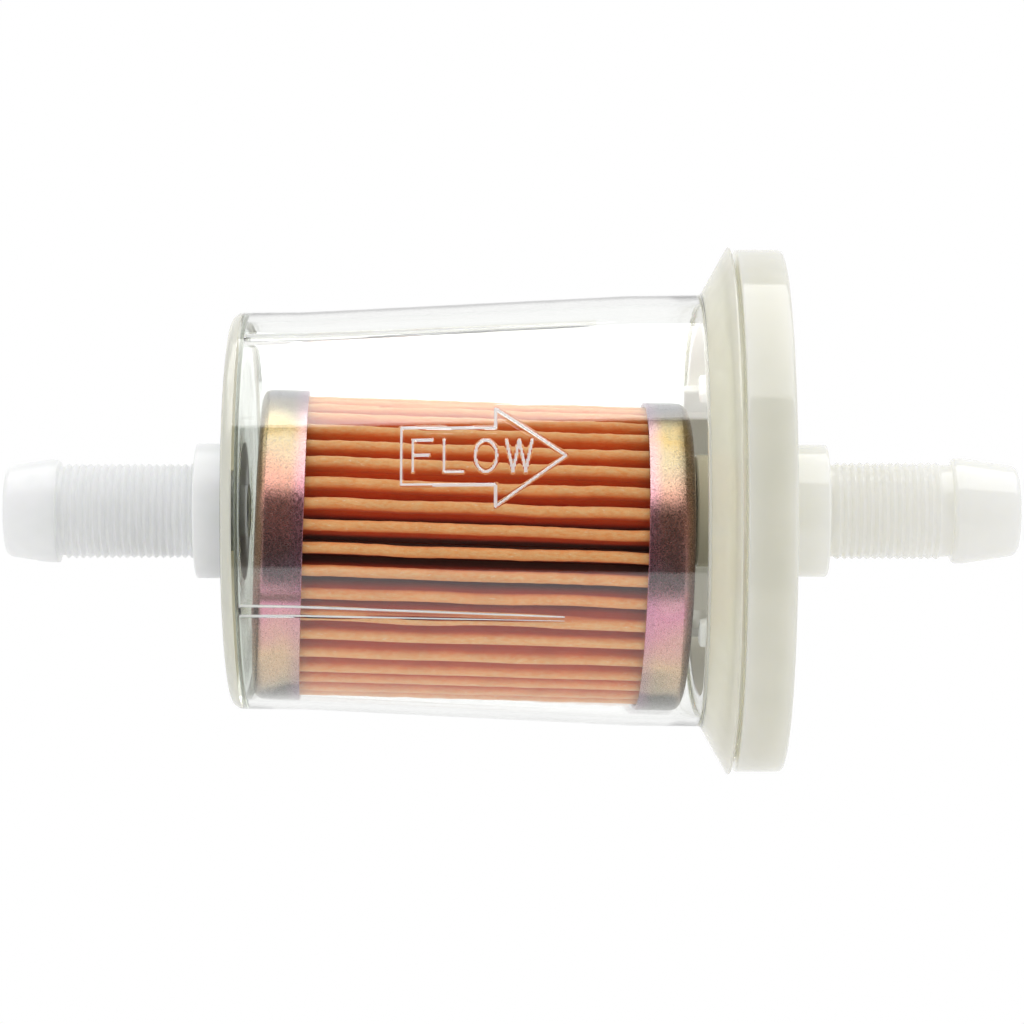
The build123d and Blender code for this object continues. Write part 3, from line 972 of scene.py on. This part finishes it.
def make_camera():
    """Level camera, square to the filter's axis."""
    distance, half_view, drop = 0.332, 0.04413, 0.0001
    data = bpy.data.cameras.new("camera")
    data.sensor_width = 36
    data.lens = data.sensor_width * distance / (2 * half_view)
    data.clip_start = 0.01
    camera = bpy.data.objects.new("camera", data)
    camera.location = (0, -distance, -drop)
    camera.rotation_euler = (math.radians(90), 0, 0)
    bpy.context.scene.collection.objects.link(camera)
    bpy.context.scene.camera = camera


def make_floor():
    """A plain pale floor some way below the filter. Its front edge ends before the camera."""
    front, back, side, height = -0.125, 0.0565, 0.5, -0.075
    bm = bmesh.new()
    corners = [(-side, front), (side, front), (side, back), (-side, back)]
    bm.faces.new([bm.verts.new((x, y, height)) for x, y in corners])
    bmesh.ops.subdivide_edges(bm, edges=bm.edges, cuts=8, use_grid_fill=True)
    mesh = bpy.data.meshes.new("floor")
    bm.to_mesh(mesh)
    bm.free()
    mesh.materials.append(floor_finish())
    floor = bpy.data.objects.new("floor", mesh)
    bpy.context.scene.collection.objects.link(floor)


def make_studio():
    """A white studio with a broad soft light overhead and a dim space in front."""
    world = bpy.data.worlds.new("studio")
    bpy.context.scene.world = world
    world.use_nodes = True
    n = Tree(world.node_tree)
    way = n.add("SeparateXYZ", {"Vector": n.add("TexCoord").outputs["Generated"]}).outputs
    height = n.math("ARCTAN2", way["Z"], n.math("MULTIPLY", way["Y"], -1.0))
    side = n.math("ABSOLUTE", way["X"])

    def times(a, b):
        return n.math("MULTIPLY", a, b)

    def rising(low, high):
        """0 below one height in degrees and 1 above the other."""
        return n.span(height, math.radians(low), math.radians(high), 0, 1)

    def band(low, high, soft=2.0):
        """1 where the direction's height is between two angles in degrees."""
        return n.math("SUBTRACT", rising(low - soft, low + soft), rising(high - soft, high + soft))

    def blend(factor, low, high):
        """low where the factor is 0 and high where it is 1."""
        return n.span(factor, 0, 1, low, high, smooth=False)

    rays = n.add("LightPath").outputs
    through = rays["Is Transmission Ray"]
    seen = n.math("MAXIMUM", through, rays["Is Glossy Ray"])
    bends = 2.5                 # a ray past the bowl's near wall has been bent more often
    deep = times(through, n.math("GREATER_THAN", rays["Transmission Depth"], bends))
    shallow = times(through, n.math("LESS_THAN", rays["Transmission Depth"], bends))

    # The dim space in front, seen in reflections and through the plastic
    front = times(times(band(-80, 50), n.span(side, 0.3, 0.6, 1, 0)), seen)
    level = blend(front, blend(seen, 0.78, 1.0), 0.02)
    # The light overhead
    panel = blend(deep, band(50, 117, 0.4), band(42, 117, 1.0))
    lamp = times(panel, n.span(side, 0.7, 0.8, 1, 0))
    level = n.math("MAXIMUM", level, times(lamp, blend(seen, 1.35, 3.9)))
    # A dimmer strip low behind, which draws the bowl's top outline as a thin grey line
    level = times(level, blend(times(shallow, rising(160, 170)), 1.0, 0.3))
    level = n.math("MAXIMUM", level, rays["Is Camera Ray"])
    shader = n.add("Background", {"Color": (1, 1, 1, 1), "Strength": level})
    n.add("OutputWorld", {"Surface": shader.outputs[0]})


make_camera()
make_floor()
make_studio()
BOUNCES = 24
scene = bpy.context.scene
scene.view_settings.view_transform = "Standard"
scene.cycles.caustics_reflective = False
scene.cycles.caustics_refractive = False
scene.cycles.max_bounces = BOUNCES
scene.cycles.transmission_bounces = BOUNCES
scene.cycles.transparent_max_bounces = BOUNCES
